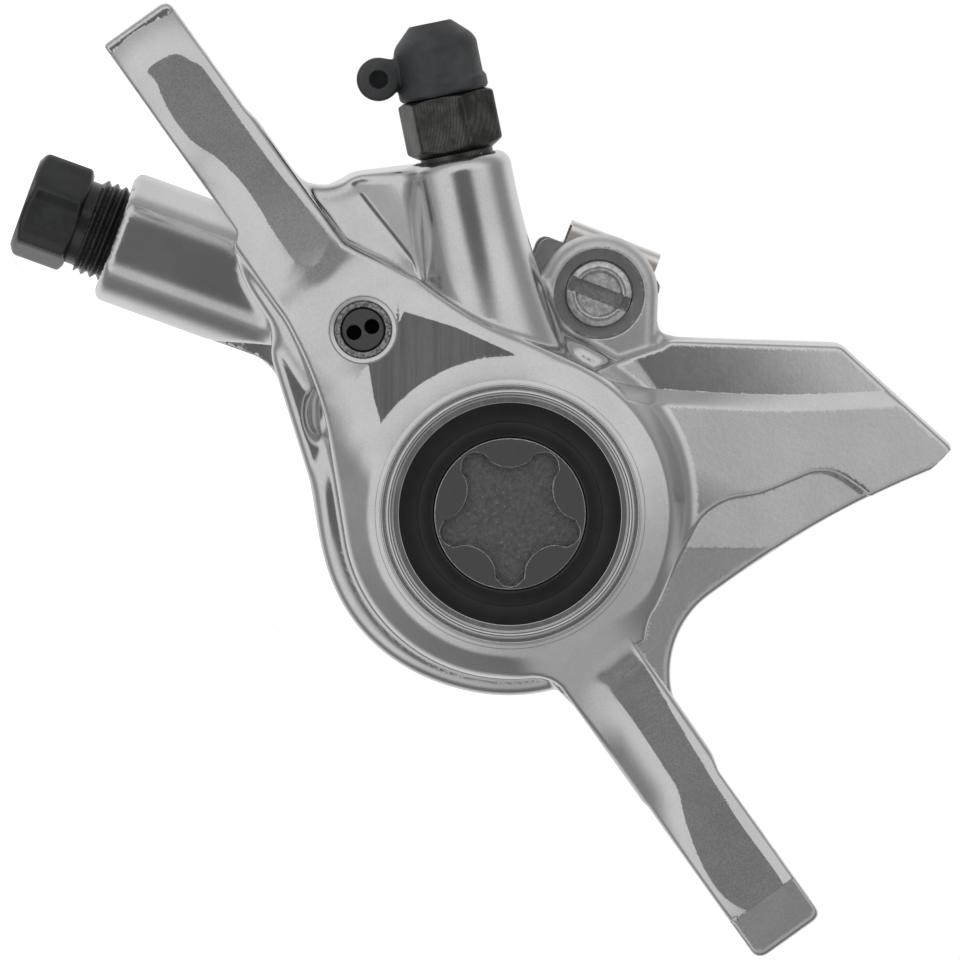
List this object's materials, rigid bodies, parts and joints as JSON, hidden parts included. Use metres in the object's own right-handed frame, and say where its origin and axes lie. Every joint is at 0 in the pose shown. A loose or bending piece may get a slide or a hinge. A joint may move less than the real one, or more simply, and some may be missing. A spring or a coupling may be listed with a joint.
{
  "type": "bicycle disc brake caliper",
  "caption": "Post-mount hydraulic disc brake caliper with a one-piece body, opposed pistons, top-loading pads, bleed nipple and a hose port.",
  "frame": {"origin": "midway between the two mounting slots, on the plane of the ears' mating faces", "axes": "+X from the rear ear to the front ear, -Y outboard (towards the picture's camera), +Z off the frame along the mounting bolts"},
  "size_m": [0.0902, 0.037, 0.0528],
  "materials": {
    "body_metal": "polished",
    "black_anodised": "satin",
    "core_metal": "matte",
    "seal_rubber": "matte",
    "dark_steel": "satin",
    "piston_ceramic": "gloss",
    "plate_steel": "satin",
    "lining": "matte",
    "spring_steel": "satin",
    "axle_steel": "satin",
    "cap_rubber": "satin",
    "nut_steel": "satin",
    "brass": "satin"
  },
  "bodies": {
    "caliper": {"caliper_body": "body_metal", "bore_cap": "black_anodised", "cap_core": "core_metal", "bore_cap_oring": "seal_rubber", "channel_plug": "dark_steel", "outboard_piston_seal": "seal_rubber", "inboard_piston_seal": "seal_rubber", "pad_spring": "spring_steel", "pad_axle": "axle_steel", "pad_axle_clip": "spring_steel", "hose_nut": "nut_steel", "hose_olive": "brass"},
    "outboard_piston": {"outboard_piston": "piston_ceramic"},
    "inboard_piston": {"inboard_piston": "piston_ceramic"},
    "outboard_pad": {"outboard_pad_plate": "plate_steel", "outboard_pad_lining": "lining"},
    "inboard_pad": {"inboard_pad_plate": "plate_steel", "inboard_pad_lining": "lining"},
    "bleed_screw": {"bleed_nipple": "dark_steel"},
    "bleed_cap": {"bleed_cap": "cap_rubber"}
  },
  "joints": [
    {"name": "outboard_piston_slide", "type": "slide", "parent": "caliper", "child": "outboard_piston", "axis": [0, 1, 0], "range_m": [0, 0.0013]},
    {"name": "inboard_piston_slide", "type": "slide", "parent": "caliper", "child": "inboard_piston", "axis": [0, -1, 0], "range_m": [0, 0.0013]},
    {"name": "outboard_pad_slide", "type": "slide", "parent": "caliper", "child": "outboard_pad", "axis": [0, 1, 0], "range_m": [0, 0.0013], "deforming": ["pad_spring"]},
    {"name": "inboard_pad_slide", "type": "slide", "parent": "caliper", "child": "inboard_pad", "axis": [0, -1, 0], "range_m": [0, 0.0013], "deforming": ["pad_spring"]},
    {"name": "bleed_turn", "type": "hinge", "parent": "caliper", "child": "bleed_screw", "pos_m": [-0.0213, -0.0017, 0.01786], "axis": [-0.9135, 0, 0.4067], "range_deg": [0, 180]},
    {"name": "bleed_cap_pull", "type": "slide", "parent": "bleed_screw", "child": "bleed_cap", "axis": [-0.9135, 0, 0.4067], "range_m": [0, 0.012]}
  ],
  "couplings": [
    {"joint": "outboard_pad_slide", "follows": "outboard_piston_slide", "ratio": 1},
    {"joint": "inboard_pad_slide", "follows": "inboard_piston_slide", "ratio": 1}
  ]
}
